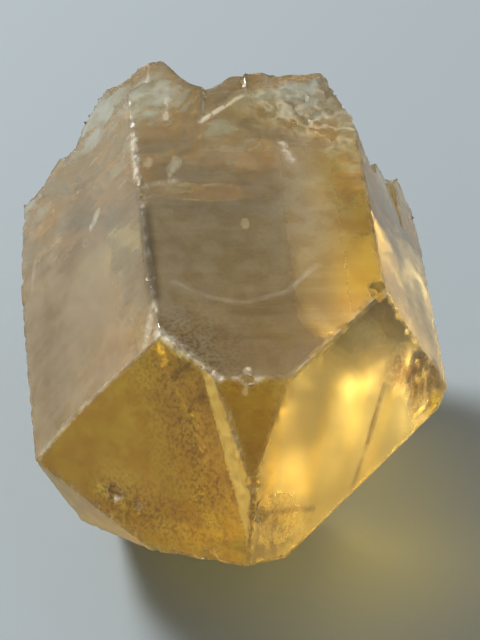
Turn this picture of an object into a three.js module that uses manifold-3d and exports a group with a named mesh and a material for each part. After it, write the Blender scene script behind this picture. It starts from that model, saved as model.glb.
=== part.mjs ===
// A raw citrine: a stubby quartz crystal with a six-sided stem and a six-faced point.
// It lies on one stem face with the point towards -Y. The far end is where it broke off.
// X runs across the crystal, Z is up, lengths are millimetres, and the origin is on the resting face.
import * as THREE from "three";
import { mergeVertices } from "three/addons/utils/BufferGeometryUtils.js";
import Module from "manifold-3d";

const wasm = await Module();
wasm.setup();

// The crystal's long axis is parallel to Y and passes through this point.
const AXIS = { x: -0.6, z: 14.5 };

// Height of the top stem face over the resting one.
const TOP = 28.5;

// Stem faces: bearing round the long axis in degrees, 0 at +X and 90 up, and distance from it.
const STEM_FACES = [
  { bearing: 90, distance: TOP - AXIS.z },
  { bearing: 150, distance: 14.65 },
  { bearing: 210, distance: 15.5 },
  { bearing: 270, distance: AXIS.z },
  { bearing: 330, distance: 13.95 },
  { bearing: 30, distance: 15.69 },
];

// Angle in quartz between the long axis and the normal of a face of the point.
const POINT_LEAN = 51.79;

// Faces of the point: bearing, and how far along -Y each one would meet the long axis.
const POINT_FACES = [
  { bearing: 90, reach: 35.8 },
  { bearing: 210, reach: 32.8 },
  { bearing: 270, reach: 24.1 },
  { bearing: 330, reach: 26.55 },
  { bearing: 30, reach: 28.3 },
];
const LEFT_POINT_FACE = { bearing: 150, reach: 31.6 };

// A low ridge stands along the right side of the left point face, where this plane keeps it.
const RIDGE = { normal: [-0.815, -0.527, 0.241], through: [-3.66, -21.83, 25.51] };

// Narrow facets that each take a thin wedge off the crystal.
const SMALL_FACETS = {
  leftShoulder: { normal: [-0.849, -0.059, 0.525], through: [-9.43, -7.3, TOP] },
  leftCorner: { normal: [-0.889, -0.048, 0.455], through: [-18.2, -7.5, 13.3] },
  leftEndUpper: { normal: [-0.9, 0.045, 0.43], through: [-16.2, 12.2, 16.8] },
  leftEndLower: { normal: [-0.98, 0.072, 0.12], through: [-17.56, 10.9, 14.4] },
  rightEnd: { normal: [0.974, 0.153, -0.157], through: [16.46, 9.1, 16.3] },
  rightCorner: { normal: [0.9, -0.4, -0.1], through: [16.1, -8.5, 16.6] },
  rightCornerFront: { normal: [0.75, -0.62, -0.1], through: [15.3, -9.9, 15.95] },
  tipFront: { normal: [0.663, -0.681, 0.311], through: [1.95, -22.9, 18.62] },
};

// Ledges left by the break: what lies outside all the planes of one is gone.
const LEDGES = {
  onTop: [
    { normal: [-0.132, 0.16, 0.978], through: [0.43, 14.59, TOP] },
    { normal: [-1, 0, 0], through: [0.55, 14.59, TOP] },
    { normal: [0.98, -0.17, 0], through: [-3.68, 11.19, TOP] },
  ],
  besideHorn: [
    { normal: [-0.55, 0.08, 0.83], through: [-7.6, 16.1, TOP] },
    { normal: [-0.6, 0.75, 0.25], through: [-7.6, 16.1, TOP] },
  ],
  topRight: [
    { normal: [0.946, 0.188, 0.267], through: [9.66, 10.68, TOP] },
    { normal: [0, 0.15, 0.99], through: [10.9, 8.6, 25.9] },
  ],
  right: [
    { normal: [0.871, 0.068, 0.486], through: [10.9, 8.6, 25.9] },
    { normal: [-0.5, 0, 0.866], through: [13.95, 7.15, 20.7] },
  ],
};

// Growth layers that stop short of the broken end, on the two stem faces next to the resting one:
// how much each layer takes off its face, and where along Y it starts.
const LAYERS = [
  { face: STEM_FACES[2], starts: [6.5, 10.4, 13.2], depths: [0.22, 0.5, 0.85] },
  { face: STEM_FACES[4], starts: [8.5, 12.6], depths: [0.25, 0.6] },
];

// The broken end: its reach at X = 0, how much further it reaches per millimetre along X,
// and the size and divisions of the sheet that has its shape.
const BREAK = { reach: 17.3, across: -0.03 };
const BREAK_SHEET = { width: 42, height: 34, columns: 60, rows: 46 };

// Shell-shaped scoops that the break is made of: centre, depth there and curve radius.
const SCOOPS = [
  { x: -2.9, z: 29.0, y: 15.3, radius: 1.5 },
  { x: -9.9, z: 28.3, y: 15.3, radius: 0.4 },
  { x: -13.6, z: 21.2, y: 14.8, radius: 0.9 },
  { x: -16.6, z: 17.2, y: 14.9, radius: 6 },
  { x: -8.4, z: 18.0, y: 14.0, radius: 8 },
  { x: 11.0, z: 25.9, y: 8.5, radius: 0.8 },
  { x: 12.6, z: 23.4, y: 11.1, radius: 3.2 },
  { x: 16.2, z: 15.8, y: 12.4, radius: 5 },
  { x: 6.4, z: 19.5, y: 14.0, radius: 7 },
  { x: 11.0, z: 9.5, y: 12.8, radius: 11 },
  { x: 0.5, z: 11.0, y: 14.6, radius: 12 },
  { x: -10.5, z: 7.0, y: 14.9, radius: 9 },
  { x: -2.0, z: -1.5, y: 16.4, radius: 11 },
];

// Ribs that run round inside the scoops.
const RIBS = { height: 0.09, spacing: 2.3 };

// Where the break stands further out, as a horn at the top left and a low hump at the top right:
// centre, height and width.
const HORNS = [
  { x: -6.5, z: 28.5, rise: 1.05, width: 2.6 },
  { x: 7.6, z: 28.5, rise: 0.9, width: 2.8 },
];

// Fine lumps on every broken surface: their height, and two waves that cross to make them, each with
// its turns per millimetre along X, Y and Z in radians and its share of the height.
const LUMP_HEIGHT = 0.13;
const COARSE_LUMPS = { alongX: 2.3, alongY: 1.4, alongZ: 1.1, acrossZ: 1.9, share: 1 };
const FINE_LUMPS = { alongX: 5.1, alongY: 3, alongZ: 4.3, share: 0.4 };

// Shallow rippled bowls knocked out of the surface: middle, the way they face, radius and depth.
const BOWLS = [
  { at: [6.2, 13.9, TOP], faces: [0.1, 0.06, 1], radius: 4.9, depth: 0.4, ripples: 4 },
  { at: [13.7, -9.7, 19.1], faces: [0.73, -0.54, 0.3], radius: 3.3, depth: 0.45, ripples: 3 },
  { at: [-1.9, -27.2, 19.2], faces: [-0.15, -0.9, 0.4], radius: 2.3, depth: 0.5, ripples: 2 },
  { at: [3.2, -16.8, 8.6], faces: [0.15, -0.65, -0.74], radius: 5.2, depth: 0.7, ripples: 4 },
];

// The lens that leaves a bowl: its mesh, the ripples' height as a share of its depth, how far it goes
// on past its rim, and how uneven its outline is.
const LENS = {
  segments: 26, ringsPerRipple: 3, rippleShare: 0.09, rimOut: 1.5, rimUp: 1.6, oval: 0.15, lobed: 0.09,
};

// Edges that are nibbled: their ends, how many chips each has and the largest chip's radius.
const NIBBLED = [
  { from: [-9.43, -12.6, 28.5], to: [-9.43, 12.5, 28.5], chips: 26, size: 0.45 },
  { from: [-9.2, -13.2, 28.5], to: [-5.2, -17.7, 28.5], chips: 7, size: 0.4 },
  { from: [-4.9, -18.0, 28.5], to: [0.7, -18.0, 28.5], chips: 5, size: 0.35 },
  { from: [0.9, -17.8, 28.5], to: [9.3, -8.5, 28.5], chips: 14, size: 0.45 },
  { from: [9.43, -8.4, 28.5], to: [9.43, 9.0, 28.5], chips: 9, size: 0.32 },
  { from: [9.6, -8.4, 28.2], to: [16.0, -8.4, 17.1], chips: 9, size: 0.45 },
  { from: [-10.4, -13.0, 26.9], to: [-17.8, -13.0, 14.0], chips: 12, size: 0.36 },
  { from: [-17.8, -13.2, 13.6], to: [-9.1, -22.8, 13.6], chips: 9, size: 0.36 },
  { from: [-8.8, -23.1, 13.7], to: [-2.4, -28.2, 17.0], chips: 9, size: 0.55 },
  { from: [-1.6, -28.2, 17.2], to: [1.6, -27.2, 16.6], chips: 4, size: 0.5 },
  { from: [2.2, -26.5, 15.9], to: [14.4, -11.0, 15.9], chips: 10, size: 0.34 },
  { from: [-2.1, -24.2, 23.6], to: [-2.1, -27.6, 18.8], chips: 6, size: 0.5 },
  { from: [-18.0, -12.2, 13.65], to: [-18.0, 4.0, 13.65], chips: 8, size: 0.34 },
  { from: [16.5, -7.0, 16.24], to: [16.5, 7.0, 16.24], chips: 8, size: 0.34 },
  { from: [-10.1, -12.5, 0.1], to: [-10.1, 14.0, 0.1], chips: 10, size: 0.5 },
  { from: [7.1, -8.4, 0.1], to: [7.1, 13.0, 0.1], chips: 9, size: 0.5 },
];

// The smallest chip's share of the largest one's radius, and how far out of the edge each chip's
// middle lies, as a share of its own radius.
const SMALLEST_CHIP = 0.35;
const CHIP_LIFT = 0.45;

// Least stretch of the pebble that leaves a chip, and how much more it can be.
const PEBBLE_STRETCH = { least: 0.7, more: 0.8 };

// Single chips: place and radius.
const CHIPS = [
  { at: [9.1, -8.6, 28.55], radius: 1.0 },
  { at: [-2.6, -18.1, 28.5], radius: 0.6 },
  { at: [-4.95, -26.2, 16.0], radius: 1.0 },
  { at: [-12.0, -18.5, 15.6], radius: 0.5 },
  { at: [-10.4, -20.1, 15.9], radius: 0.35 },
  { at: [-2.2, -24.6, 23.5], radius: 0.8 },
  { at: [-0.9, -25.4, 20.9], radius: 0.7 },
  { at: [1.4, -26.2, 18.6], radius: 0.6 },
  { at: [-18.0, -7.6, 13.7], radius: 0.55 },
];

// The blank is larger than the crystal all round, and a block that cuts it is larger still.
const BLANK = { width: 60, length: 90, height: 60 };
const BLOCK = 160;

// A run of numbers from 0 to 1 that is the same each time.
function randomRun(seed) {
  const modulus = 2147483647;
  let state = seed;
  return () => {
    state = (state * 48271) % modulus;
    return state / modulus;
  };
}
const random = randomRun(20347);

// A closed three.js geometry as a solid.
function solidOf(geometry) {
  const bare = geometry.clone();
  bare.deleteAttribute("normal");
  bare.deleteAttribute("uv");
  const merged = mergeVertices(bare, 1e-4);
  return new wasm.Manifold(
    new wasm.Mesh({
      numProp: 3,
      vertProperties: Float32Array.from(merged.attributes.position.array),
      triVerts: Uint32Array.from(merged.index.array),
    }),
  );
}

// A solid as a three.js geometry.
function geometryOf(solid) {
  const mesh = solid.getMesh();
  return new THREE.BufferGeometry()
    .setAttribute("position", new THREE.BufferAttribute(mesh.vertProperties, 3))
    .setIndex(new THREE.BufferAttribute(mesh.triVerts, 1));
}

const vector = (xyz) => new THREE.Vector3(...xyz);
const turnTo = (direction) =>
  new THREE.Quaternion().setFromUnitVectors(new THREE.Vector3(0, 0, 1), direction);

// The normal of a face at a bearing, leaning from the long axis by an angle in degrees.
function normalAt(bearing, lean = 90) {
  const turn = THREE.MathUtils.degToRad(bearing);
  const tilt = THREE.MathUtils.degToRad(lean);
  const out = Math.sin(tilt);
  return new THREE.Vector3(out * Math.cos(turn), -Math.cos(tilt), out * Math.sin(turn));
}

// The block that lies outside a plane.
function outside(normal, point) {
  const block = new THREE.BoxGeometry(BLOCK, BLOCK, BLOCK);
  block.translate(0, 0, BLOCK / 2);
  block.applyQuaternion(turnTo(normal));
  block.translate(point.x, point.y, point.z);
  return solidOf(block);
}

// The block outside a facet that is given by its normal and a point on it.
function outsideFacet({ normal, through }) {
  return outside(vector(normal).normalize(), vector(through));
}

// What lies outside all the facets of a ledge.
function outsideLedge(facets) {
  return facets.map(outsideFacet).reduce((ledge, block) => ledge.intersect(block));
}

// The block outside a stem face, or outside the same face moved in by a depth.
function outsideStemFace({ bearing, distance }, depth = 0) {
  const normal = normalAt(bearing);
  const point = new THREE.Vector3(AXIS.x, 0, AXIS.z).addScaledVector(normal, distance - depth);
  return outside(normal, point);
}

// The block outside a face of the point.
function outsidePointFace({ bearing, reach }) {
  return outside(normalAt(bearing, POINT_LEAN), new THREE.Vector3(AXIS.x, -reach, AXIS.z));
}

// The layer of a stem face that is missing from a place along Y to the broken end.
function missingLayer(face, start, depth) {
  const behind = outside(new THREE.Vector3(0, 1, 0), new THREE.Vector3(0, start, 0));
  return outsideStemFace(face, depth).intersect(behind);
}

// The lumps at a place, as a share of their height. They are the same each time.
function lumps(x, y, z) {
  const along = Math.sin(COARSE_LUMPS.alongX * x + COARSE_LUMPS.alongZ * z);
  const across = Math.cos(COARSE_LUMPS.acrossZ * z - COARSE_LUMPS.alongY * y);
  const fine = Math.sin(FINE_LUMPS.alongX * x + FINE_LUMPS.alongY * y - FINE_LUMPS.alongZ * z);
  return COARSE_LUMPS.share * along * across + FINE_LUMPS.share * fine;
}

// How far back the broken end reaches at a place across the crystal.
function breakReach(x, z) {
  let reach = BREAK.reach + BREAK.across * x;
  for (const horn of HORNS) {
    const away = Math.hypot(x - horn.x, z - horn.z) / horn.width;
    reach += horn.rise * Math.exp(-(away ** 2));
  }
  for (const scoop of SCOOPS) {
    const away = Math.hypot(x - scoop.x, z - scoop.z);
    const rib = RIBS.height * Math.cos((2 * Math.PI * away) / RIBS.spacing);
    const hollow = scoop.y + away ** 2 / (2 * scoop.radius);
    reach = Math.min(reach, hollow + rib);
  }
  return reach + LUMP_HEIGHT * lumps(x, 0, z);
}

// The block beyond the broken end, whose near face is the break.
function beyondBreak() {
  const { width, height, columns, rows } = BREAK_SHEET;
  const block = new THREE.BoxGeometry(width, BLOCK, height, columns, 1, rows);
  block.translate(AXIS.x, BLOCK / 2, AXIS.z);
  const place = block.attributes.position;
  for (let i = 0; i < place.count; i++) {
    const near = place.getY(i) < BLOCK / 2;
    if (near) place.setY(i, breakReach(place.getX(i), place.getZ(i)));
  }
  return solidOf(block);
}

// A lumpy lens with a rippled underside, which leaves a shallow bowl where it is cut away.
function bowl({ at, faces, radius, depth, ripples }) {
  const rings = LENS.ringsPerRipple * ripples;
  const profile = [new THREE.Vector2(0, -depth)];
  for (let i = 1; i <= rings; i++) {
    const share = i / rings;
    const ripple = LENS.rippleShare * depth * Math.cos(2 * Math.PI * ripples * share);
    const hollow = -depth * (1 - share ** 2);
    profile.push(new THREE.Vector2(radius * share, hollow + ripple * (1 - share)));
  }
  profile.push(new THREE.Vector2(LENS.rimOut * radius, LENS.rimUp * depth));
  profile.push(new THREE.Vector2(0, LENS.rimUp * depth));
  const lens = new THREE.LatheGeometry(profile, LENS.segments);
  const place = lens.attributes.position;
  for (let i = 0; i < place.count; i++) {
    const [x, y, z] = [place.getX(i), place.getY(i), place.getZ(i)];
    const turn = Math.atan2(z, x);
    const oval = LENS.oval * Math.sin(2 * turn + at[0]);
    const lobed = LENS.lobed * Math.sin(3 * turn + at[1]);
    const spread = 1 + oval + lobed;
    place.setXYZ(i, x * spread, y + LUMP_HEIGHT * lumps(x, at[0], z), z * spread);
  }
  lens.rotateX(Math.PI / 2);
  lens.applyQuaternion(turnTo(vector(faces).normalize()));
  lens.translate(...at);
  return solidOf(lens);
}

// An angular pebble that takes a chip out of what it overlaps.
function pebble(point, radius) {
  const stretch = () => PEBBLE_STRETCH.least + PEBBLE_STRETCH.more * random();
  const stone = new THREE.IcosahedronGeometry(radius, 0);
  stone.scale(stretch(), stretch(), stretch());
  stone.rotateX(Math.PI * random());
  stone.rotateY(Math.PI * random());
  stone.translate(point.x, point.y, point.z);
  return solidOf(stone);
}

// Pebbles for all the chips, those along an edge at uneven steps and of uneven sizes.
function pebbles() {
  const stones = CHIPS.map(({ at, radius }) => pebble(vector(at), radius));
  for (const { from, to, chips, size } of NIBBLED) {
    for (let i = 0; i < chips; i++) {
      const middle = vector(from).lerp(vector(to), (i + random()) / chips);
      const radius = size * (SMALLEST_CHIP + (1 - SMALLEST_CHIP) * random());
      const outwards = new THREE.Vector3(middle.x - AXIS.x, 0, middle.z - AXIS.z).normalize();
      stones.push(pebble(middle.addScaledVector(outwards, CHIP_LIFT * radius), radius));
    }
  }
  return stones;
}

// The crystal, cut from a blank by its faces and then worn.
function crystal() {
  const blank = new THREE.BoxGeometry(BLANK.width, BLANK.length, BLANK.height);
  blank.translate(AXIS.x, 0, AXIS.z);
  const cuts = [
    ...STEM_FACES.map((face) => outsideStemFace(face)),
    ...POINT_FACES.map(outsidePointFace),
    outsidePointFace(LEFT_POINT_FACE).intersect(outsideFacet(RIDGE)),
    ...Object.values(SMALL_FACETS).map(outsideFacet),
    ...Object.values(LEDGES).map(outsideLedge),
    ...LAYERS.flatMap(({ face, starts, depths }) =>
      starts.map((start, i) => missingLayer(face, start, depths[i])),
    ),
    beyondBreak(),
    ...BOWLS.map(bowl),
    ...pebbles(),
  ];
  return cuts.reduce((body, cut) => body.subtract(cut), solidOf(blank));
}

const citrine = new THREE.Mesh(
  geometryOf(crystal()),
  new THREE.MeshStandardMaterial({ color: 0xc9a45a, roughness: 0.25, metalness: 0 }),
);
citrine.name = "citrine_crystal";

const part = new THREE.Group();
part.add(citrine);
export default part;
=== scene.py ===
"""A raw citrine: its worn surface, its clear golden body and the bright cracks inside it.

Lengths are in metres, in the part's own frame: X across the crystal, -Y to its point, Z up.
Places and sizes on the crystal are written in millimetres and turned into metres where they are used.
"""

import math

import bmesh
import bpy
import numpy as np
from mathutils import Matrix, Vector, kdtree, noise


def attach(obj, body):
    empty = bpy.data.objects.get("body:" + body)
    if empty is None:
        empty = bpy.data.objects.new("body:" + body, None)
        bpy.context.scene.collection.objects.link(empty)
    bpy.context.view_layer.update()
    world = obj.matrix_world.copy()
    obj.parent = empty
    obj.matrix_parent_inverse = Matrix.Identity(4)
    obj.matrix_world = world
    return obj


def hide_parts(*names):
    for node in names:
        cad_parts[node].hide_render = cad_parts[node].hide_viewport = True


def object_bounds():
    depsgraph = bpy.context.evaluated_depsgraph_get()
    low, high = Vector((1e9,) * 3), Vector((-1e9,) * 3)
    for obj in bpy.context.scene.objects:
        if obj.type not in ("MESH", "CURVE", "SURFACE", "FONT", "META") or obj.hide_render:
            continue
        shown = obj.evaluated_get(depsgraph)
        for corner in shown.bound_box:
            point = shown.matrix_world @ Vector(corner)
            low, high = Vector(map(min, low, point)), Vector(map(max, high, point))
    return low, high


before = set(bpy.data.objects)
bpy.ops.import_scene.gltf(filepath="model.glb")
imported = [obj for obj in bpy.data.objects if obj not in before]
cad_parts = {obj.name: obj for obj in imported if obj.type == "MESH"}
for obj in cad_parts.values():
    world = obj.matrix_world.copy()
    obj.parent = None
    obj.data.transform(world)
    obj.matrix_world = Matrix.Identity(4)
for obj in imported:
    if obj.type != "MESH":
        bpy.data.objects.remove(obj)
cad_low, cad_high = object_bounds()

MM = 0.001

# The camera stands where the photograph was taken from, far off with a long lens.
CAMERA_PLACE = (-41.4, -197.1, 220.4)
CAMERA_LOOK = (0.14397, 0.68734, -0.71193)
CAMERA_UP = (-0.00324, 0.71974, 0.69423)
CAMERA_LENS = 193.27
SENSOR = 36.0
NEAREST_SEEN = 0.01
FARTHEST_SEEN = 5.0

# The studio: a soft lamp behind the crystal to the left, and an even pale sky.
KEY_PLACE = (-360.0, 270.0, 420.0)
KEY_SIZE = 150.0
KEY_WATTS = 5.2
SKY = (0.95, 0.98, 1.0)
SKY_STRENGTH = 0.39
FLOOR_SIZE = 4.0
FLOOR_GAP = 0.02
FLOOR_COLOR = (0.31, 0.351, 0.369)
FLOOR_ROUGHNESS = 0.9

# Citrine's own glassy values. What the body takes from light grows with the way through it.
QUARTZ_IOR = 1.55
CLEARNESS = 0.92
FROST_CLEARNESS = 0.3
BODY_COLOR = (0.97, 0.81, 0.26)
BODY_DENSITY = 52.0

# The fine surface: even cells, in mm, small enough for the wear that shows from a step away.
CELL = 0.26
WELD = 0.001
SNAP = 0.55 * CELL
EDGE_STEP = 0.04
EDGE_WEAR = 0.45
EDGE_ANGLE = math.radians(20)
SHARP_ANGLE = math.radians(24)

# How deep each kind of wear goes, in mm.
LINE_DEPTH = 0.02
WAVE_DEPTH = 0.03
EDGE_DEPTH = 0.03
NIBBLE_DEPTH = 0.11
PIT_DEPTH = 0.16
RIPPLE_DEPTH = 0.16

# The noises in the surface: the size of each one's lumps in mm along X, Y and Z, how far it is shifted
# so that no two are alike, and how many ever finer layers it has.
NOISES = {
    "lines": ((9.0, 1.2, 9.0), 3.1, 2),
    "waves": ((4.0, 4.0, 4.0), 7.7, 2),
    "nibbles": ((0.8, 0.8, 0.8), 1.3, 2),
    "ripples": ((2.4, 1.8, 2.4), 9.4, 2),
    "rusting_and_reflecting": ((2.2, 2.2, 2.2), 4.4, 3),
    "edge_shading": ((1.2, 1.2, 1.2), 6.6, 3),
}
LAYER_FADE = 1.0
LAYER_FINENESS = 2.0
PIT_GRAIN = (1.1, 1.1, 1.1)
PIT_SHIFT = 5.2

# The kinds of face, by how far they look along an axis: where each kind starts and where it is whole.
STEM_SLANT = (0.25, 0.1)
POINT_SLANT = (0.3, 0.5)
BREAK_SLANT = (0.15, 0.4)
UNDER_SLANT = (0.0, -0.4)
SAME_WAY = (0.985, 0.995)
# An edge whose faces both look back by more than this is one of the break's own ribs, and stays soft.
RIB_SLANT = 0.25

# Where the front of the crystal starts along Y and where it is whole, in mm.
FRONT = (-4.0, -10.0)
# How far the point's faces lean from the long axis, how far its right face is turned from +X towards
# +Z, in degrees, and which way the small face looks that is worn along its left ridge.
POINT_LEAN = math.radians(51.79)
RIGHT_TURN = 30
RIDGE_FACE = (-0.815, -0.527, 0.241)

# The values of a noise between which nibbles, pits, ripples, the painted shade along edges, and rust
# with its painted reflection set in.
NIBBLED = (0.1, 0.5)
PITTED = (0.45, 0.1)
RIPPLED = (0.3, 0)
EDGE_SHADED = (-0.3, 0.2)
RUSTED_AND_REFLECTING = (-0.8, 0.0)

# How much of each tint whole kinds of face have, beside the patches below.
GOLD_LOST_RIGHT = 0.5
GOLD_LOST_AT_EDGES = 0.4
STRAW_ON_RIGHT = 0.75
SMOKE_ON_BREAK = 0.2
# How strong the painted shade along the sharp edges is.
PAINTED_SHADE_AT_EDGES = 0.5
FROST_ON_RIDGE = 0.1
FROST_TINT = 0.6
DULLNESS = {"broken": 0.5, "under": 0.4, "ridge": 0.6, "edge": 0.6, "right": 0.15}

# The colours of the surface, from clear quartz to the iron stains in its cracks.
CLEAR = (0.99, 0.96, 0.82)
MURK = (0.72, 0.60, 0.38)
SMOKE = (0.36, 0.30, 0.17)
# A dark tint for painted shade, laid where the crystal is to look less lit.
PAINTED_SHADE = (0.09, 0.085, 0.06)
GOLD = (0.86, 0.66, 0.035)
AMBER = (0.74, 0.47, 0.015)
STRAW = (0.38, 0.385, 0.22)
PALE_GOLD = (0.98, 0.74, 0.14)
BROWN = (0.16, 0.08, 0.012)
# Rust colour for the iron stains, also used for a painted reflection of an edge inside the crystal.
RUST_AND_REFLECTION = (0.22, 0.10, 0.015)
FROST = (0.95, 0.89, 0.70)
FEATHER = (0.96, 0.93, 0.80)

# The textures in the skin: the size of each one's lumps in mm, how much finer detail it has, and how
# far it is squeezed along X, Y and Z.
EVEN = (1, 1, 1)
TEXTURES = {
    "lumps": (5.0, 3.0, EVEN),
    "clots": (1.8, 8.0, EVEN),
    "curls": (1.6, 3.0, EVEN),
    "streaks": (0.8, 5.0, (0.1, 1.0, 0.1)),
    "fine": (0.6, 4.0, EVEN),
    "flecks": (0.5, 3.0, EVEN),
    "grain": (0.3, 5.0, EVEN),
}
TEXTURE_MIDDLE = 0.5

# How values turn into shares: the lowest and highest value, and the share at each of them.
SPREADS = {
    "murky clots": (0.45, 0.6, 0, 0.65),
    "murky grain": (0.45, 0.65, 0, 0.35),
    "hazy lumps": (0.3, 0.7, 0.3, 0.7),
    "hazy streaks": (0.4, 0.6, 0, 0.4),
    "amber clots": (0.42, 0.58, 0, 1),
    "painted shade clots": (0.3, 0.7, 0.7, 1),
    "brown specks": (0.46, 0.6, 0, 0.85),
    "rusty and reflecting spots": (0.3, 0.6, 0.5, 1),
    "crests": (0.0, 0.1, 0.6, 0),
    "bruises": (0.4, 0.55, 0.3, 1),
    "cloudy spots": (0.4, 0.6, 0.1, 0.45),
    "clearness": (0, 1, CLEARNESS, FROST_CLEARNESS),
    "roughness": (0, 1, 0.07, 0.6),
    "uneven finish": (0.3, 0.7, 0, 0.08),
    "flecks": (0.3, 0.7, 0.75, 1.0),
}
BUMP_STRENGTH = 0.2
BUMP_HEIGHT = 0.04

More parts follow.
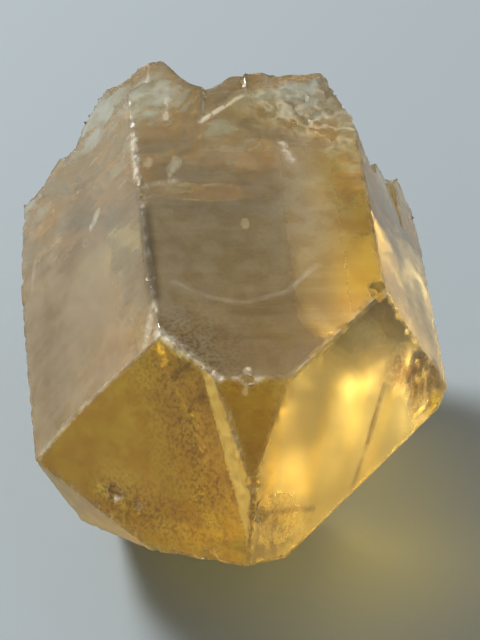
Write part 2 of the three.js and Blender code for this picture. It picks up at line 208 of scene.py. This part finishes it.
# Patches where the surface differs, each round a line: its two ends and its reach in mm, and how strong
# it is.
PATCHES = {
    "gold": (
        ((13.5, 6.0, 8.0), (13.0, -8.0, 8.0), 11.0, 1.0),
        ((9.4, 2.0, 28.0), (8.5, -7.0, 28.5), 6.0, 0.9),
        ((9.6, 8.0, 27.5), (9.4, 2.0, 28.0), 5.0, 0.6),
        ((7.0, 6.0, 28.5), (8.0, 0.0, 28.5), 4.0, 0.7),
        ((2.0, 13.0, 28.5), (7.0, 10.0, 28.5), 5.0, 0.25),
        ((-1.0, -25.3, 20.3), (3.5, -22.2, 17.3), 1.8, 1.0),
    ),
    "pale": (
        ((5.3, 3.4, 28.5), (5.5, 1.6, 28.5), 2.0, 0.3),
        ((8.8, -6.4, 28.5), (9.0, -4.0, 28.5), 2.6, 0.4),
        ((0.2, -18.6, 28.0), (-1.2, -24.3, 21.2), 1.3, 0.8),
        ((5.0, -15.8, 25.0), (2.6, -21.2, 19.4), 1.4, 0.5),
        ((8.0, -12.3, 24.6), (6.4, -16.8, 19.4), 1.4, 0.4),
        ((9.2, -10.2, 26.4), (10.6, -10.8, 23.6), 3.2, 0.55),
        ((10.6, -12.4, 20.4), (7.8, -18.0, 15.6), 1.5, 0.6),
        ((-12.6, -17.3, 16.6), (-9.5, -19.4, 17.2), 2.2, 0.4),
        ((-4.6, -23.8, 18.8), (-4.0, -22.9, 21.0), 1.2, 0.4),
    ),
    "clear": (
        ((8.0, -11.4, 26.6), (11.0, -11.0, 23.0), 3.4, 0.8),
        ((-11.0, 9.0, 25.0), (-13.0, -5.0, 22.0), 7.0, 0.8),
        ((11.6, 10.0, 24.6), (12.6, 2.0, 23.0), 3.5, 0.9),
    ),
    "smoke": (
        ((-6.0, 8.0, 28.5), (-2.0, -10.0, 28.5), 10.0, 0.5),
        ((-2.0, -13.0, 28.5), (5.0, -9.0, 28.5), 7.0, 0.9),
        ((-9.2, 0.5, 28.5), (-9.2, -9.0, 28.5), 1.3, 1.0),
        ((0.0, 18.0, 24.0), (0.0, 14.0, 28.0), 14.0, 0.7),
        ((-2.0, -21.0, 26.5), (-2.0, -21.0, 26.5), 4.0, 0.6),
        ((-6.5, -15.5, 26.5), (-4.6, -21.5, 22.0), 4.5, 0.6),
        ((-16.0, 0.0, 17.0), (-16.6, -12.0, 16.5), 3.5, 0.5),
        ((-12.0, 12.0, 23.5), (-14.6, 2.0, 19.5), 2.0, 0.4),
        ((12.9, 9.8, 22.4), (13.0, 8.0, 22.0), 1.8, 0.6),
    ),
    # Painted shade: dark patches on the right face, along the top's left edge and on both front faces
    # of the point, where less light is to come through.
    "painted_shade": (
        ((14.4, 0.0, 19.5), (15.0, -5.0, 18.6), 4.2, 1.0),
        ((12.6, 0.0, 23.6), (13.4, -5.0, 21.6), 4.2, 1.0),
        ((-9.2, 0.5, 28.5), (-9.3, -9.5, 28.5), 0.9, 0.8),
        ((-6.8, -16.2, 26.0), (-3.4, -23.0, 22.0), 4.5, 0.6),
        ((5.0, -19.5, 20.0), (10.5, -15.0, 17.5), 6.0, 0.22),
    ),
    "dull": (
        ((3.0, 14.0, 28.5), (8.0, 11.0, 28.0), 5.0, 0.5),
        ((-4.0, -22.5, 19.5), (2.0, -25.0, 19.0), 5.0, 0.5),
        ((13.6, -10.4, 19.5), (15.6, -8.6, 18.0), 3.0, 0.9),
        ((-9.4, 2.0, 28.5), (-9.4, -12.0, 28.5), 0.8, 0.9),
        ((0.7, -18.0, 28.5), (9.4, -8.4, 28.5), 0.7, 0.8),
        ((4.6, 6.0, 28.5), (4.2, -11.0, 28.5), 3.6, 0.9),
    ),
    "rust_and_reflection": (
        ((11.8, -11.0, 21.8), (15.4, -9.2, 18.2), 4.4, 1.0),
        ((9.3, -8.4, 28.4), (8.0, -9.9, 28.4), 0.7, 0.8),
        ((9.5, -8.0, 28.4), (9.7, -6.6, 28.2), 0.5, 0.6),
        ((-13.0, -17.7, 15.2), (-11.4, -19.2, 15.4), 0.8, 0.8),
        # Painted reflection: the next two lines draw the dark reflection of an edge inside the crystal
        # on the point's right face, in the rust colour.
        ((9.9, -12.4, 21.6), (8.4, -15.8, 18.5), 0.6, 0.8),
        ((8.4, -15.8, 18.5), (7.0, -18.9, 16.0), 0.5, 0.6),
        ((-1.1, -25.0, 20.6), (3.5, -21.9, 17.5), 0.4, 0.6),
        ((-10.3, -20.2, 15.0), (-10.0, -20.4, 16.0), 0.4, 0.6),
    ),
    "mottled": (
        ((-8.0, -15.5, 27.0), (-5.0, -22.0, 21.0), 7.0, 1.0),
        ((-12.0, -18.5, 15.0), (-3.0, -24.5, 17.5), 4.0, 1.0),
        ((-2.0, -25.0, 20.5), (3.0, -25.0, 17.5), 5.0, 0.8),
        ((12.0, -10.5, 21.0), (14.0, -9.5, 19.0), 3.0, 0.8),
        ((14.0, -9.5, 18.8), (14.0, -9.5, 18.8), 3.5, 0.8),
    ),
    "frost": (
        ((-9.4, -13.0, 28.4), (-7.2, -15.6, 28.4), 0.9, 0.8),
        ((-7.2, -15.6, 28.4), (-4.8, -18.1, 28.4), 0.6, 0.7),
        ((-9.45, 9.5, 28.3), (-9.5, 4.5, 28.3), 0.6, 0.7),
        ((-9.5, -10.0, 28.4), (-10.4, -13.1, 27.0), 0.7, 0.6),
        ((-10.4, -13.1, 26.9), (-17.6, -13.1, 14.2), 0.4, 0.6),
        ((1.0, -17.8, 28.4), (9.2, -8.6, 28.4), 0.35, 0.5),
        ((-3.6, 11.2, 28.4), (0.3, 14.5, 28.3), 0.4, 1.0),
        ((-6.1, 15.4, 28.2), (-6.5, 11.4, 28.3), 0.45, 1.0),
        ((-3.6, -18.0, 28.4), (-1.6, -18.1, 28.4), 0.4, 1.0),
        ((-2.5, -17.1, 28.5), (-2.8, -18.9, 27.7), 0.4, 1.0),
        ((-7.6, -7.6, 28.5), (-5.0, -9.3, 28.5), 0.4, 0.15),
        ((-5.0, -9.3, 28.5), (-2.0, -9.9, 28.5), 0.4, 0.25),
        ((-2.0, -9.9, 28.5), (1.6, -8.6, 28.5), 0.4, 0.2),
        ((1.6, -8.6, 28.5), (4.2, -5.6, 28.5), 0.4, 0.25),
        ((-9.3, 3.2, 28.5), (-6.4, 4.0, 28.5), 0.5, 0.3),
        ((9.7, -8.4, 28.0), (16.0, -8.4, 17.1), 0.35, 0.4),
        ((13.2, 8.6, 21.8), (13.6, 6.4, 20.8), 0.6, 0.8),
        ((2.9, 8.6, 28.4), (3.5, 6.6, 28.4), 0.5, 0.8),
        ((-4.5, -19.4, 27.7), (-2.3, -24.6, 22.8), 0.35, 0.8),
        ((-16.6, 7.4, 15.4), (-16.9, 4.4, 14.8), 0.5, 0.8),
    ),
    "swirls": (
        ((3.4, 13.6, 28.2), (7.6, 10.6, 28.0), 4.6, 0.8),
        ((7.0, 10.0, 28.2), (9.4, 4.0, 28.2), 1.8, 0.3),
        ((-9.0, 13.0, 27.5), (-6.0, 16.0, 28.2), 2.6, 0.4),
        ((-1.5, -25.5, 20.5), (1.5, -26.0, 18.5), 2.2, 0.5),
    ),
    "pits": (
        ((-2.3, -24.2, 23.0), (0.5, -26.0, 18.5), 3.0, 1.0),
    ),
    "ripples": (
        ((2.0, 15.0, 28.5), (8.5, 10.5, 28.0), 4.5, 1.0),
    ),
}

# The bright cracks inside: each is a thin flake with its centre, the way it runs, the way it is wide,
# its length and its width, in mm.
FEATHERS = (
    ((-6.2, 6.4, 27.5), (0.35, 0.9, 0.1), (1.0, -0.3, 0.3), 3.0, 1.0),
    ((-8.3, 6.6, 27.5), (0.2, 0.9, 0.1), (1.0, 0.0, 0.3), 1.7, 0.7),
    ((-1.0, -0.7, 27.8), (0.1, 1.0, 0.0), (1.0, 0.0, 0.2), 1.4, 0.7),
    ((-12.3, 5.0, 23.0), (0.5, 0.75, 0.45), (0.6, -0.6, 0.4), 2.4, 0.8),
)
# A crack fades towards its rim, because a smaller flake lies over the middle of it: the size of each,
# and how far it is moved off, in mm.
LAYERS = ((1.0, 0.0), (0.6, 0.06))
FLAKE_THICKNESS = 0.07
FLAKE_TWIST = 0.04
FLAKE_RINGS = 5
FLAKE_SPOKES = 28
# How far a flake's rim goes in and out, how often it does so, and what sets one rim off from the next.
RIM_SWING = 0.5
RIM_GRAIN = 1.6
RIM_SHIFT = 3.7
FEATHER_ALPHA = 0.2
FEATHER_ROUGHNESS = 0.5
FLECK_SHARE = 0.7


def in_metres(place):
    return np.array(place) * MM


def unit(way):
    return np.array(way) / np.linalg.norm(way)


def ramp(value, low, high):
    """0 at low and 1 at high, with a smooth turn between them."""
    share = np.clip((value - low) / (high - low), 0, 1)
    return share * share * (3 - 2 * share)


def near(points, start, end, reach):
    """1 on the line from start to end, falling smoothly to 0 at the reach."""
    start, end = in_metres(start), in_metres(end)
    along = end - start
    share = np.clip((points - start) @ along / max(along @ along, MM**4), 0, 1)
    apart = np.linalg.norm(points - start - share[:, None] * along, axis=1)
    return ramp(apart, reach * MM, 0)


def patches(points, kind):
    """How strong the patches of one kind are at each point."""
    amount = np.zeros(len(points))
    for start, end, reach, strength in PATCHES[kind]:
        amount = np.maximum(amount, strength * near(points, start, end, reach))
    return amount


def on_face(normals, facing):
    """1 on the face that looks the given way, 0 elsewhere."""
    return ramp(normals @ unit(facing), *SAME_WAY)


def point_face(turn):
    """Which way the point's face looks that is turned so far, in degrees, from +X towards +Z."""
    turn = math.radians(turn)
    slant = math.sin(POINT_LEAN)
    return (slant * math.cos(turn), -math.cos(POINT_LEAN), slant * math.sin(turn))


def clouds(points, name):
    """Smooth noise of about -1 to 1."""
    grain, shift, layers = NOISES[name]
    scaled = points / in_metres(grain) + shift
    return np.array(
        [noise.fractal(Vector(place), LAYER_FADE, LAYER_FINENESS, layers) for place in scaled]
    )


def seeds_apart(points, grain, shift):
    """How far each point is from its nearest scattered seed, in grains."""
    scaled = points / in_metres(grain) + shift
    return np.array([noise.voronoi(Vector(place))[0][0] for place in scaled])


def make_camera():
    data = bpy.data.cameras.new("camera")
    data.lens = CAMERA_LENS
    data.sensor_width = SENSOR
    data.clip_start = NEAREST_SEEN
    data.clip_end = FARTHEST_SEEN
    camera = bpy.data.objects.new("camera", data)
    back = -Vector(CAMERA_LOOK).normalized()
    right = Vector(CAMERA_UP).cross(back).normalized()
    up = back.cross(right)
    turn = Matrix((right, up, back)).transposed()
    camera.matrix_world = Matrix.Translation(in_metres(CAMERA_PLACE)) @ turn.to_4x4()
    bpy.context.scene.collection.objects.link(camera)
    bpy.context.scene.camera = camera


def sharp_edges(mesh):
    """A tree of points set close together along the mesh's sharp edges."""
    work = bmesh.new()
    work.from_mesh(mesh)
    bmesh.ops.remove_doubles(work, verts=work.verts, dist=WELD * MM)
    places = []
    for edge in work.edges:
        if len(edge.link_faces) != 2 or all(face.normal.y > RIB_SLANT for face in edge.link_faces):
            continue
        if edge.calc_face_angle() > EDGE_ANGLE:
            start, end = (corner.co.copy() for corner in edge.verts)
            steps = int(edge.calc_length() / (EDGE_STEP * MM)) + 1
            places.extend(start.lerp(end, step / steps) for step in range(steps + 1))
    work.free()
    tree = kdtree.KDTree(len(places))
    for number, place in enumerate(places):
        tree.insert(place, number)
    tree.balance()
    return tree


def even_mesh(node):
    """The node's shape in even cells, laid back on its own faces and drawn to its own sharp edges.

    It comes with how far each of its points is from the nearest sharp edge.
    """
    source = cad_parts[node]
    piece = bpy.data.objects.new("citrine", source.data.copy())
    bpy.context.scene.collection.objects.link(piece)
    remesh = piece.modifiers.new("even", "REMESH")
    remesh.mode = "VOXEL"
    remesh.voxel_size = CELL * MM
    wrap = piece.modifiers.new("flat", "SHRINKWRAP")
    wrap.target = source
    wrap.wrap_method = "NEAREST_SURFACEPOINT"
    depsgraph = bpy.context.evaluated_depsgraph_get()
    mesh = bpy.data.meshes.new_from_object(piece.evaluated_get(depsgraph))
    piece.modifiers.clear()
    piece.data = mesh
    edges = sharp_edges(source.data)
    from_edge = []
    for vertex in mesh.vertices:
        place, _, apart = edges.find(vertex.co)
        if apart < SNAP * MM:
            vertex.co = place
        from_edge.append(apart)
    mesh.update()
    return piece, np.array(from_edge)


def vectors_of(items, name):
    """The named three numbers of each item, one row an item."""
    numbers = np.empty(len(items) * 3)
    items.foreach_get(name, numbers)
    return numbers.reshape(-1, 3)


def wear(mesh, from_edge):
    """Moves each point inwards: growth lines, low waves, pits, ripples and nibbled edges."""
    points = vectors_of(mesh.vertices, "co")
    normals = vectors_of(mesh.vertex_normals, "vector")
    stem = ramp(np.abs(normals[:, 1]), *STEM_SLANT)
    edge = ramp(from_edge, EDGE_WEAR * MM, 0)
    nibbled = ramp(clouds(points, "nibbles"), *NIBBLED)
    pitted = ramp(seeds_apart(points, PIT_GRAIN, PIT_SHIFT), *PITTED)
    rippled = ramp(np.abs(clouds(points, "ripples")), *RIPPLED)
    depth = LINE_DEPTH * stem * (1 + clouds(points, "lines"))
    depth += WAVE_DEPTH * (1 + clouds(points, "waves"))
    depth += edge * (EDGE_DEPTH + NIBBLE_DEPTH * nibbled)
    depth += patches(points, "pits") * PIT_DEPTH * pitted
    depth += patches(points, "ripples") * RIPPLE_DEPTH * rippled
    moved = points - normals * (depth * MM)[:, None]
    moved = np.clip(moved, np.array(cad_low), np.array(cad_high))
    mesh.vertices.foreach_set("co", moved.ravel())
    mesh.update()


def paint(mesh, from_edge):
    """Writes how much of each tint and finish every point has."""
    points = vectors_of(mesh.vertices, "co")
    normals = vectors_of(mesh.vertex_normals, "vector")
    patch = {kind: patches(points, kind) for kind in PATCHES}

    front = ramp(points[:, 1], *in_metres(FRONT))
    point = front * ramp(-normals[:, 1], *POINT_SLANT)
    ridge = on_face(normals, RIDGE_FACE)
    broken = ramp(normals[:, 1], *BREAK_SLANT)
    under = ramp(normals[:, 2], *UNDER_SLANT)
    edge = ramp(from_edge, EDGE_WEAR * MM, 0)
    facing_right = on_face(normals, point_face(RIGHT_TURN))
    right = facing_right * front
    tinted = 1 - patch["clear"]

    golden = np.maximum(point * (1 - GOLD_LOST_RIGHT * facing_right), patch["gold"])
    # Painted shade: a dark tint along the sharp edges, broken up by a noise.
    painted_edge_shade = PAINTED_SHADE_AT_EDGES * edge * ramp(clouds(points, "edge_shading"), *EDGE_SHADED)
    places = {"broken": broken, "under": under, "ridge": ridge, "edge": edge, "right": right}
    dull = [DULLNESS[name] * place for name, place in places.items()]
    amounts = {
        "gold": golden * (1 - GOLD_LOST_AT_EDGES * edge) * tinted,
        "straw": STRAW_ON_RIGHT * right * tinted,
        "murk": tinted,
        "pale": np.maximum(ridge, patch["pale"]),
        "smoke": np.maximum(patch["smoke"], SMOKE_ON_BREAK * broken),
        # Painted shade, from its patches and in broken lines along the sharp edges, but not on the worn
        # ridge.
        "painted_shade": np.maximum(patch["painted_shade"], painted_edge_shade) * (1 - ridge),
        # Rust, and the painted reflection of an edge.
        "rust_and_reflection": patch["rust_and_reflection"] * ramp(clouds(points, "rusting_and_reflecting"), *RUSTED_AND_REFLECTING),
        "dull": np.maximum.reduce([patch["dull"], *dull]),
        "mottled": patch["mottled"] * (1 - ridge),
        "frost": np.maximum(patch["frost"], FROST_ON_RIDGE * ridge),
        "swirls": patch["swirls"],
    }
    for name, amount in amounts.items():
        layer = mesh.attributes.new(name, "FLOAT", "POINT")
        layer.data.foreach_set("value", np.clip(amount, 0, 1).astype(np.float32))


def flake(centre, runs, across, length, width, seed):
    """The points and faces of a thin closed lens with an uneven rim."""
    runs = unit(runs)
    across = unit(across - runs * np.dot(across, runs))
    facing = np.cross(runs, across)

    def place(ring, spoke, side):
        turn = math.tau * spoke / FLAKE_SPOKES
        share = ring / FLAKE_RINGS
        on_rim = Vector((math.cos(turn), math.sin(turn), RIM_SHIFT * seed)) * RIM_GRAIN
        reach = share * (1 + RIM_SWING * noise.noise(on_rim))
        forward = reach * math.cos(turn)
        sideways = reach * math.sin(turn)
        rise = side * FLAKE_THICKNESS / 2 * (1 - share**2) + FLAKE_TWIST * forward * sideways
        in_plane = runs * forward * length / 2 + across * sideways * width / 2
        return in_metres(centre + in_plane + facing * rise)

    points = [place(0, 0, 1), place(0, 0, -1)]
    starts = {}
    for side in (1, -1):
        for ring in range(1, FLAKE_RINGS):
            starts[side, ring] = len(points)
            points.extend(place(ring, spoke, side) for spoke in range(FLAKE_SPOKES))
    starts[1, FLAKE_RINGS] = starts[-1, FLAKE_RINGS] = len(points)
    points.extend(place(FLAKE_RINGS, spoke, 0) for spoke in range(FLAKE_SPOKES))

    faces = []
    for side, pole in ((1, 0), (-1, 1)):
        for spoke in range(FLAKE_SPOKES):
            after = (spoke + 1) % FLAKE_SPOKES
            first = starts[side, 1]
            faces.append((pole, first + spoke, first + after)[::side])
            for ring in range(1, FLAKE_RINGS):
                inner, outer = starts[side, ring], starts[side, ring + 1]
                faces.append((inner + spoke, outer + spoke, outer + after, inner + after)[::side])
    return points, faces


class Sheet:
    """A material's nodes, with short ways to add and join them."""

    # A Mix node has sockets for each kind of data. These are the ones for colours.
    MIX_FIRST = 6
    MIX_SECOND = 7
    MIX_RESULT = 2

    def __init__(self, name):
        self.material = bpy.data.materials.new(name)
        self.material.use_nodes = True
        self.nodes = self.material.node_tree.nodes
        self.links = self.material.node_tree.links
        self.nodes.clear()

    def add(self, kind, **settings):
        node = self.nodes.new(kind)
        for name, value in settings.items():
            setattr(node, name, value)
        return node

    def put(self, socket, value):
        if isinstance(value, bpy.types.NodeSocket):
            self.links.new(value, socket)
        elif socket.type == "RGBA":
            socket.default_value = (*value, 1)
        else:
            socket.default_value = value

    def amount(self, name):
        return self.add("ShaderNodeAttribute", attribute_name=name).outputs["Fac"]

    def math(self, operation, first, second=0.0):
        node = self.add("ShaderNodeMath", operation=operation)
        self.put(node.inputs[0], first)
        self.put(node.inputs[1], second)
        return node.outputs[0]

    def times(self, first, second):
        return self.math("MULTIPLY", first, second)

    def larger(self, first, second):
        return self.math("MAXIMUM", first, second)

    def spread(self, value, name):
        node = self.add("ShaderNodeMapRange", clamp=True)
        for socket, number in zip(node.inputs, (value, *SPREADS[name])):
            self.put(socket, number)
        return node.outputs[0]

    def mix(self, share, first, second):
        node = self.add("ShaderNodeMix", data_type="RGBA")
        self.put(node.inputs["Factor"], share)
        self.put(node.inputs[self.MIX_FIRST], first)
        self.put(node.inputs[self.MIX_SECOND], second)
        return node.outputs[self.MIX_RESULT]

    def texture(self, name):
        size, detail, squeeze = TEXTURES[name]
        turn = self.add("ShaderNodeMapping")
        self.put(turn.inputs["Vector"], self.add("ShaderNodeTexCoord").outputs["Object"])
        self.put(turn.inputs["Scale"], squeeze)
        node = self.add("ShaderNodeTexNoise")
        self.put(node.inputs["Vector"], turn.outputs[0])
        self.put(node.inputs["Scale"], 1 / (size * MM))
        self.put(node.inputs["Detail"], detail)
        return node.outputs["Fac"]

    def finish(self, skin, body=None):
        """The material, with this skin and, where it is given, this body."""
        out = self.add("ShaderNodeOutputMaterial")
        self.put(out.inputs["Surface"], skin.outputs[0])
        if body:
            self.put(out.inputs["Volume"], body.outputs[0])
        return self.material


def skin_tint(sheet, textures, frost):
    """The colour of the skin: each tint in turn is laid over the ones before it."""
    clots, grain = textures["clots"], textures["grain"]
    murk = sheet.math("ADD", sheet.spread(clots, "murky clots"), sheet.spread(grain, "murky grain"))
    tint = sheet.mix(sheet.times(sheet.amount("murk"), murk), CLEAR, MURK)
    haze = sheet.math(
        "ADD",
        sheet.spread(textures["lumps"], "hazy lumps"),
        sheet.spread(textures["streaks"], "hazy streaks"),
    )
    tint = sheet.mix(sheet.times(sheet.amount("smoke"), haze), tint, SMOKE)
    gold = sheet.mix(sheet.spread(clots, "amber clots"), GOLD, AMBER)
    tint = sheet.mix(sheet.amount("gold"), tint, gold)
    tint = sheet.mix(sheet.amount("straw"), tint, STRAW)
    tint = sheet.mix(sheet.amount("pale"), tint, PALE_GOLD)
    for name, texture, spots, color in (
        # Painted shade, broken up into clots.
        ("painted_shade", clots, "painted shade clots", PAINTED_SHADE),
        ("mottled", grain, "brown specks", BROWN),
        # Rust, and the painted reflection of an edge, in spots.
        ("rust_and_reflection", textures["fine"], "rusty and reflecting spots", RUST_AND_REFLECTION),
    ):
        share = sheet.times(sheet.amount(name), sheet.spread(texture, spots))
        tint = sheet.mix(share, tint, color)
    return sheet.mix(sheet.times(frost, FROST_TINT), tint, FROST)


def crystal_material():
    sheet = Sheet("citrine")
    names = ("lumps", "clots", "curls", "streaks", "fine", "grain")
    textures = {name: sheet.texture(name) for name in names}
    fine = textures["fine"]
    from_crest = sheet.math("ABSOLUTE", sheet.math("SUBTRACT", textures["curls"], TEXTURE_MIDDLE))
    swirls = sheet.times(sheet.amount("swirls"), sheet.spread(from_crest, "crests"))
    bruises = sheet.times(sheet.amount("frost"), sheet.spread(fine, "bruises"))
    frost = sheet.larger(swirls, bruises)
    cloudy = sheet.times(sheet.amount("pale"), sheet.spread(fine, "cloudy spots"))
    milk = sheet.larger(frost, sheet.larger(cloudy, sheet.amount("rust_and_reflection")))
    rough = sheet.spread(sheet.larger(sheet.amount("dull"), frost), "roughness")

    bump = sheet.add("ShaderNodeBump")
    sheet.put(bump.inputs["Strength"], BUMP_STRENGTH)
    sheet.put(bump.inputs["Distance"], BUMP_HEIGHT * MM)
    sheet.put(bump.inputs["Height"], sheet.math("ADD", fine, textures["streaks"]))

    skin = sheet.add("ShaderNodeBsdfPrincipled")
    sheet.put(skin.inputs["Base Color"], skin_tint(sheet, textures, frost))
    sheet.put(skin.inputs["Roughness"], sheet.math("ADD", rough, sheet.spread(fine, "uneven finish")))
    sheet.put(skin.inputs["Transmission Weight"], sheet.spread(milk, "clearness"))
    sheet.put(skin.inputs["IOR"], QUARTZ_IOR)
    sheet.put(skin.inputs["Normal"], bump.outputs[0])

    body = sheet.add("ShaderNodeVolumeAbsorption")
    sheet.put(body.inputs["Color"], BODY_COLOR)
    sheet.put(body.inputs["Density"], BODY_DENSITY)
    return sheet.finish(skin, body)


def feather_material():
    sheet = Sheet("feather")
    flecks = sheet.spread(sheet.texture("flecks"), "flecks")
    dimmed = tuple(FLECK_SHARE * part for part in FEATHER)
    skin = sheet.add("ShaderNodeBsdfPrincipled")
    sheet.put(skin.inputs["Base Color"], sheet.mix(flecks, dimmed, FEATHER))
    sheet.put(skin.inputs["Roughness"], FEATHER_ROUGHNESS)
    sheet.put(skin.inputs["Alpha"], FEATHER_ALPHA)
    return sheet.finish(skin)


def floor_material():
    sheet = Sheet("floor")
    skin = sheet.add("ShaderNodeBsdfPrincipled")
    sheet.put(skin.inputs["Base Color"], FLOOR_COLOR)
    sheet.put(skin.inputs["Roughness"], FLOOR_ROUGHNESS)
    return sheet.finish(skin)


def make_crystal():
    piece, from_edge = even_mesh("citrine_crystal")
    paint(piece.data, from_edge)
    wear(piece.data, from_edge)
    piece.data.set_sharp_from_angle(angle=SHARP_ANGLE)
    piece.data.materials.clear()
    piece.data.materials.append(crystal_material())
    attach(piece, "root")
    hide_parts("citrine_crystal")


def make_feathers():
    """The bright cracks inside, all in one piece."""
    points, faces = [], []
    for seed, (centre, runs, across, length, width) in enumerate(FEATHERS):
        facing = np.cross(unit(runs), unit(across))
        for size, rise in LAYERS:
            middle = np.array(centre) + facing * rise
            more_points, more_faces = flake(middle, runs, across, length * size, width * size, seed)
            faces.extend(tuple(len(points) + corner for corner in face) for face in more_faces)
            points.extend(more_points)
    mesh = bpy.data.meshes.new("feathers")
    mesh.from_pydata(points, [], faces)
    mesh.shade_smooth()
    mesh.materials.append(feather_material())
    piece = bpy.data.objects.new("feathers", mesh)
    bpy.context.scene.collection.objects.link(piece)
    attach(piece, "root")


def make_floor():
    bpy.ops.mesh.primitive_plane_add(size=FLOOR_SIZE, location=(0, 0, cad_low.z - FLOOR_GAP * MM))
    floor = bpy.context.object
    floor.name = "floor"
    floor.data.materials.append(floor_material())


def make_light():
    world = bpy.data.worlds.new("studio")
    bpy.context.scene.world = world
    world.use_nodes = True
    sky = world.node_tree.nodes["Background"]
    sky.inputs["Color"].default_value = (*SKY, 1)
    sky.inputs["Strength"].default_value = SKY_STRENGTH
    light = bpy.data.lights.new("key", "AREA")
    light.energy = KEY_WATTS
    light.size = KEY_SIZE * MM
    lamp = bpy.data.objects.new("key", light)
    lamp.location = in_metres(KEY_PLACE)
    lamp.rotation_euler = Vector(KEY_PLACE).to_track_quat("Z", "Y").to_euler()
    bpy.context.scene.collection.objects.link(lamp)


make_camera()
make_crystal()
make_feathers()
make_floor()
make_light()
bpy.context.scene.view_settings.view_transform = "Standard"
